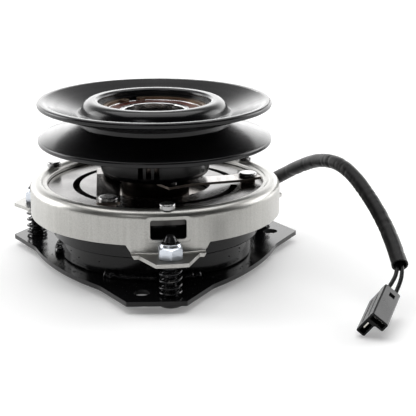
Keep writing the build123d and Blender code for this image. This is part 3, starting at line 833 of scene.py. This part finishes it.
# ------------------------------------------------------------------ springs
@dataclass
class Springs:
    """Leaf springs between pulley and armature, and coil springs under the ears."""

    sides: tuple[str, ...] = ("front", "right", "left")
    bolt_angles: tuple[float, ...] = (-84.7, 35.3, 155.3)
    leaf_outer: tuple[float, float] = (56.2, 1.5)
    leaf_hub: tuple[float, float] = (29.0, -69.5)
    wire: float = 1.5
    coil_radius: float = 5.8
    coils: float = 5.6
    section: int = 12
    steps: int = 36
    bolt_circle: float = 83.5
    seat: float = 0.02

    def build(self, paint: Paintbox) -> None:
        """Model and dress both sorts of spring.

        Args:
            paint: The finishes.
        """
        self.leaves(paint)
        for side, angle in zip(self.sides, self.bolt_angles):
            self.coil(side, angle, paint)

    def polar(self, radius: float, degrees: float, height: float = 0.0) -> Vector:
        """A point round the shaft axis.

        Args:
            radius: Its distance from the axis, in millimetres.
            degrees: Its angle from +X.
            height: Its height, in millimetres.

        Returns:
            The point, in metres.
        """
        angle = math.radians(degrees)
        return Vector((radius * math.cos(angle), radius * math.sin(angle), height)) * MM

    def leaves(self, paint: Paintbox) -> None:
        """Split the leaf springs into their three packs.

        Args:
            paint: The finishes.
        """
        turns = (0, 120, 240)
        middle = (self.leaf_outer[1] + self.leaf_hub[1]) / 2 - 5
        names = [f"leaf_pack_{number}" for number in (1, 2, 3)]
        packs = thirds(node_copy("leaf_springs", "leaf_packs"), names, [middle + turn for turn in turns])
        for pack, turn in zip(packs, turns):
            paint.dress(pack, "spring_steel")
            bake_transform(pack)
            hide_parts("leaf_springs")
            LOG.info("piece %s", pack.name)

    def coil(self, side: str, angle: float, paint: Paintbox) -> None:
        """One compression spring with closed, ground ends.

        Args:
            side: Which of the three it is.
            angle: Where its bolt stands, in degrees from +X.
            paint: The finishes.
        """
        low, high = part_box("adjusting_springs")
        bottom, top = low.z + self.seat * MM, high.z - self.seat * MM
        bpy.ops.object.select_all(action="DESELECT")
        bpy.ops.mesh.primitive_circle_add(vertices=self.section, radius=self.wire / 2 * MM,
                                          location=(self.coil_radius * MM, 0, 0),
                                          rotation=(math.pi / 2, 0, 0))
        spring = named(f"coil_spring_{side}")
        bpy.ops.object.transform_apply(location=True, rotation=True, scale=True)
        screw = spring.modifiers.new("winding", "SCREW")
        screw.angle = 2 * math.pi * self.coils
        screw.steps = screw.render_steps = round(self.coils * self.steps)
        screw.use_smooth_shade = True
        take(spring)
        bpy.ops.object.modifier_apply(modifier=screw.name)
        self.wind(spring, bottom, top)
        bpy.ops.object.mode_set(mode="EDIT")
        bpy.ops.mesh.select_all(action="SELECT")
        bpy.ops.mesh.fill_holes(sides=self.section)
        bpy.ops.object.mode_set(mode="OBJECT")
        spring.location = self.polar(self.bolt_circle, angle)
        spring.rotation_euler = (0, 0, math.radians(angle + 100))
        settle(spring, 50.0)
        paint.dress(spring, "black_oxide")
        self.ease(spring)
        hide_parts("adjusting_springs")
        LOG.info("piece %s", spring.name)

    def wind(self, spring: bpy.types.Object, bottom: float, top: float) -> None:
        """Lay the flat winding out in height: closed at both ends, open between.

        Args:
            spring: The flat winding.
            bottom: The height of its lower end, in metres.
            top: The height of its upper end, in metres.
        """
        half = self.wire / 2 * MM
        travel = top - bottom - 2 * half
        for vertex in spring.data.vertices:
            turn = vertex.index // self.section / self.steps
            rise = bottom + half + self.climb(turn, travel)
            vertex.co.z = min(max(rise + vertex.co.z, bottom), top)

    def climb(self, turn: float, travel: float) -> float:
        """How high the wire has climbed.

        Args:
            turn: The turns so far.
            travel: The climb of the whole spring, in metres.

        Returns:
            The climb so far, in metres.
        """
        closed = 1.02 * self.wire * MM
        open_pitch = (travel - 2 * closed) / (self.coils - 2)
        left = self.coils - turn
        if turn < 1:
            return closed * turn
        if left < 1:
            return travel - closed * left
        return closed + open_pitch * (turn - 1)

    def ease(self, spring: bpy.types.Object) -> None:
        """Bake the spring's place into its mesh.

        Args:
            spring: The finished spring.
        """
        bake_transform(spring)


# ------------------------------------------------------------------ lead
@dataclass
class Lead:
    """Black sleeve with creases and an open mouth, and its two wires."""

    sleeve_route: tuple[Point, ...] = (
        (16.5, 63.6, 13.6), (34.0, 70.5, 14.2), (52.0, 74.8, 17.6), (69.5, 72.8, 25.8),
        (82.8, 61.5, 36.4), (92.2, 43.5, 47.2), (101.6, 20.5, 57.0), (109.3, -1.0, 61.2),
        (116.3, -20.5, 59.0), (122.6, -39.5, 51.6), (128.4, -56.5, 42.2), (132.0, -73.5, 33.2),
        (133.3, -90.3, 24.8),
    )
    wire_routes: ClassVar[dict[str, tuple[Point, ...]]] = {
        "wire_left": ((130.6, -72.5, 33.3), (131.6, -81.5, 28.6), (131.9, -91.0, 24.2),
                      (129.3, -98.0, 19.4), (124.1, -104.3, 15.8)),
        "wire_right": ((133.4, -72.5, 33.5), (134.4, -81.5, 29.4), (134.6, -91.2, 24.4),
                       (132.6, -99.0, 18.0), (127.9, -105.4, 12.8)),
    }
    sleeve_radius: float = 4.35
    wall: float = 0.9
    wire_radius: float = 1.15
    sleeve_length: float = 250.0
    taper: float = 60.0
    mouth: float = 7.0
    wire_lengths: ClassVar[dict[str, float]] = {"wire_left": 38.3, "wire_right": 40.5}
    sides: int = 28

    def build(self, paint: Paintbox) -> None:
        """Args:
            paint: The finishes.
        """
        line = self.points(self.route("sleeve_line", self.sleeve_route, 20))
        sleeve = self.sleeve(line)
        paint.dress(sleeve, "sleeve")
        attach(sleeve, Body.ROOT.value)
        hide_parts("lead_sleeve")
        LOG.info("piece %s", sleeve.name)
        for name, route in self.wire_routes.items():
            wire = self.route(name, route, 16)
            wire.data.bevel_depth = self.wire_radius * MM
            wire.data.bevel_resolution = 6
            wire.data.use_fill_caps = True
            paint.dress(wire, "wire")
            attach(wire, Body.ROOT.value)
            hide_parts(f"lead_{name}")
            LOG.info("piece %s", wire.name)

    def route(self, name: str, points: Sequence[Point], resolution: int) -> bpy.types.Object:
        """Lay a smooth open curve along a route.

        Args:
            name: The curve's name.
            points: The route, in millimetres.
            resolution: How many steps each stretch has.

        Returns:
            The curve.
        """
        curve = bpy.data.curves.new(name, "CURVE")
        curve.dimensions = "3D"
        curve.resolution_u = resolution
        spline = curve.splines.new("NURBS")
        spline.points.add(len(points) - 1)
        for knot, point in zip(spline.points, points):
            knot.co = (*[value * MM for value in point], 1.0)
        spline.order_u = 3
        spline.use_endpoint_u = True
        spline.use_smooth = True
        piece = bpy.data.objects.new(name, curve)
        bpy.context.scene.collection.objects.link(piece)
        return piece

    def points(self, curve: bpy.types.Object) -> list[Vector]:
        """Read a curve's smooth line.

        Args:
            curve: The curve, which is used up.

        Returns:
            The points of its line, in metres.
        """
        bpy.context.view_layer.update()
        mesh = bpy.data.meshes.new_from_object(curve)
        line = [vertex.co.copy() for vertex in mesh.vertices]
        bpy.data.objects.remove(curve)
        bpy.data.meshes.remove(mesh)
        return line

    def sleeve(self, line: Sequence[Vector]) -> bpy.types.Object:
        """A tube along the line, creased where it bends, flared and open at its mouth.

        Args:
            line: The middle of the sleeve, in metres.

        Returns:
            The sleeve.
        """
        mesh = bmesh.new()
        lengths = [0.0]
        for before, after in zip(line, line[1:]):
            lengths.append(lengths[-1] + (after - before).length / MM)
        side = Vector((0, 0, 1))
        walls: tuple[list, list] = ([], [])
        for index, (centre, along) in enumerate(zip(line, lengths)):
            ahead = line[min(index + 1, len(line) - 1)] - line[max(index - 1, 0)]
            ahead.normalize()
            side = (side - ahead * side.dot(ahead)).normalized()
            for wall, inset in zip(walls, (0.0, self.wall)):
                wall.append([mesh.verts.new(self.skin(centre, ahead, side, along, lengths[-1], turn, inset))
                             for turn in range(self.sides)])
        for wall in walls:
            for near, far in zip(wall, wall[1:]):
                self.band(mesh, near, far)
        self.band(mesh, walls[0][-1], walls[1][-1])
        self.band(mesh, walls[0][0], walls[1][0])
        data = bpy.data.meshes.new("lead_sleeve_skin")
        mesh.to_mesh(data)
        mesh.free()
        piece = bpy.data.objects.new("lead_sleeve_skin", data)
        bpy.context.scene.collection.objects.link(piece)
        return settle(piece, 60.0)

    def band(self, mesh: bmesh.types.BMesh, near: list, far: list) -> None:
        """Join two rings of vertices with a band of faces.

        Args:
            mesh: The mesh that they are in.
            near: One ring.
            far: The other ring.
        """
        for turn in range(self.sides):
            after = (turn + 1) % self.sides
            mesh.faces.new((near[turn], near[after], far[after], far[turn]))

    def skin(self, centre: Vector, ahead: Vector, side: Vector, along: float, whole: float,
             turn: int, inset: float) -> Vector:
        """One point of the sleeve's wall.

        Args:
            centre: The middle of the sleeve here.
            ahead: The way the sleeve runs.
            side: A direction square to it.
            along: How far along the sleeve this is, in millimetres.
            whole: The sleeve's length in millimetres.
            turn: The point's number round the ring.
            inset: How far inside the outer skin it lies, in millimetres.

        Returns:
            The point, in metres.
        """
        angle = 2 * math.pi * turn / self.sides
        out = side * math.cos(angle) + ahead.cross(side) * math.sin(angle)
        wave = noise.noise(Vector((along * 0.09, math.cos(angle) * 0.7, math.sin(angle) * 0.7)))
        crease = noise.noise(Vector((along * 0.45, math.cos(angle) * 0.6, 4 + math.sin(angle) * 0.6)))
        left = whole - along
        flare = max(0.0, 1 - left / self.taper) * 0.25 + max(0.0, 1 - left / self.mouth) ** 2 * 0.2
        radius = self.sleeve_radius - inset - 0.12 + wave * 0.16 - max(0.0, crease - 0.12) * 0.5 + flare
        return centre + out * radius * MM


# ------------------------------------------------------------------ studio
@dataclass
class Studio:
    """Pale floor, bright backdrop light and the camera."""

    floor_size: float = 6.0
    # Where the floor's painted glow starts to brighten, in metres from the shaft axis.
    painted_glow_start: float = 0.3
    wall_ramp: tuple[float, ...] = (-0.05, 0.6, 0.03, 3.6)
    height_ramp: tuple[float, ...] = (0.22, 0.55, 1.0, 0.16)
    panels: ClassVar[dict[str, tuple[Point, tuple[float, float], float]]] = {
        "left_panel": ((-0.85, 0.25, 0.35), (0.5, 0.6), 4.0),
        "right_panel": ((0.85, 0.3, 0.35), (0.5, 0.6), 3.0),
        "top_panel": ((0.0, 0.1, 0.9), (1.2, 0.8), 7.5),
        "front_fill": ((-0.35, -0.9, 0.6), (0.3, 0.2), 0.5),
    }
    aim: Point = (0.0, 0.0, 0.05)
    camera_place: Point = (0.0, -0.7417, 0.2480)
    camera_tilt: float = 73.81
    camera_turn: float = -2.465
    lens: float = 109.4

    def build(self) -> None:
        """Set up the floor, the lights and the camera."""
        self.floor()
        self.world()
        for name, (place, size, power) in self.panels.items():
            self.panel(name, place, size, power)
        self.camera()

    def floor(self) -> None:
        """A plain pale floor under the bolt heads, with painted light: it glows faintly near the object and
        brighter further out.
        """
        bpy.ops.object.select_all(action="DESELECT")
        bpy.ops.mesh.primitive_plane_add(size=self.floor_size)
        plane = named("floor")
        g = Graph("pale_floor_painted_glow")
        cloud = g.noise(3.0, 2.0)
        tone = g.mixed(cloud, (0.86, 0.86, 0.86), (0.88, 0.88, 0.88))
        # Painted light: the floor glows faintly near the object and brighter further out, standing in for
        # light that does not reach it.
        far = (g.radius() - self.painted_glow_start) * 1.4
        painted_glow = g.mixed(far, (0.17, 0.17, 0.17), (0.8, 0.8, 0.8))
        plane.data.materials.append(g.surface(tone, 0.7 + cloud * 0.1, emission_color=painted_glow,
                                              emission_strength=1.0))

    def world(self) -> None:
        """A white studio wall behind the object, and a dark room behind the camera."""
        world = bpy.data.worlds.new("studio")
        world.use_nodes = True
        tree = world.node_tree
        tree.nodes.clear()
        place = tree.nodes.new("ShaderNodeTexCoord")
        parts = tree.nodes.new("ShaderNodeSeparateXYZ")
        wall, height = (tree.nodes.new("ShaderNodeMapRange") for _ in range(2))
        for ramp, ends in ((wall, self.wall_ramp), (height, self.height_ramp)):
            ramp.interpolation_type = "SMOOTHSTEP"
            for key, value in zip(("From Min", "From Max", "To Min", "To Max"), ends):
                ramp.inputs[key].default_value = value
        both = tree.nodes.new("ShaderNodeMath")
        both.operation = "MULTIPLY"
        seen = tree.nodes.new("ShaderNodeLightPath")
        chosen = tree.nodes.new("ShaderNodeMix")
        chosen.inputs[3].default_value = 1.0
        light = tree.nodes.new("ShaderNodeBackground")
        out = tree.nodes.new("ShaderNodeOutputWorld")
        for source, target in (
            (place.outputs["Generated"], parts.inputs[0]), (parts.outputs[1], wall.inputs["Value"]),
            (parts.outputs[2], height.inputs["Value"]), (wall.outputs[0], both.inputs[0]),
            (height.outputs[0], both.inputs[1]),
            (seen.outputs["Is Camera Ray"], chosen.inputs[0]), (both.outputs[0], chosen.inputs[2]),
            (chosen.outputs[0], light.inputs["Strength"]), (light.outputs[0], out.inputs[0]),
        ):
            tree.links.new(source, target)
        bpy.context.scene.world = world

    def panel(self, name: str, place: Point, size: tuple[float, float], power: float) -> None:
        """A rectangular soft light that points at the object.

        Args:
            name: The light's name.
            place: Where it hangs, in metres.
            size: Its width and height, in metres.
            power: Its power, in watts.
        """
        bpy.ops.object.light_add(type="AREA", location=place)
        lamp = bpy.context.active_object
        lamp.name = name
        lamp.data.shape = "RECTANGLE"
        lamp.data.size, lamp.data.size_y = size
        lamp.data.energy = power
        towards = Vector(self.aim) - Vector(place)
        lamp.rotation_euler = towards.to_track_quat("-Z", "Y").to_euler()

    def camera(self) -> None:
        """The camera, at the height and angle of a product view."""
        turned = (math.radians(self.camera_tilt), 0, math.radians(self.camera_turn))
        bpy.ops.object.camera_add(location=self.camera_place, rotation=turned)
        camera = bpy.context.active_object
        camera.data.lens = self.lens
        camera.data.sensor_width = 36.0
        camera.data.clip_start = 0.05
        bpy.context.scene.camera = camera


def main() -> None:
    """Build the pieces in order, dress the frame and set up the studio."""
    logging.basicConfig(level=logging.INFO, format="%(name)s: %(message)s")
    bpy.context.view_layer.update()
    bpy.context.scene.view_settings.view_transform = "Standard"
    paint = Paintbox()
    Studio().build()
    Lead().build(paint)
    Welds().build(paint)
    Springs().build(paint)
    paint.dress_frame()


if __name__ == "__main__":
    main()
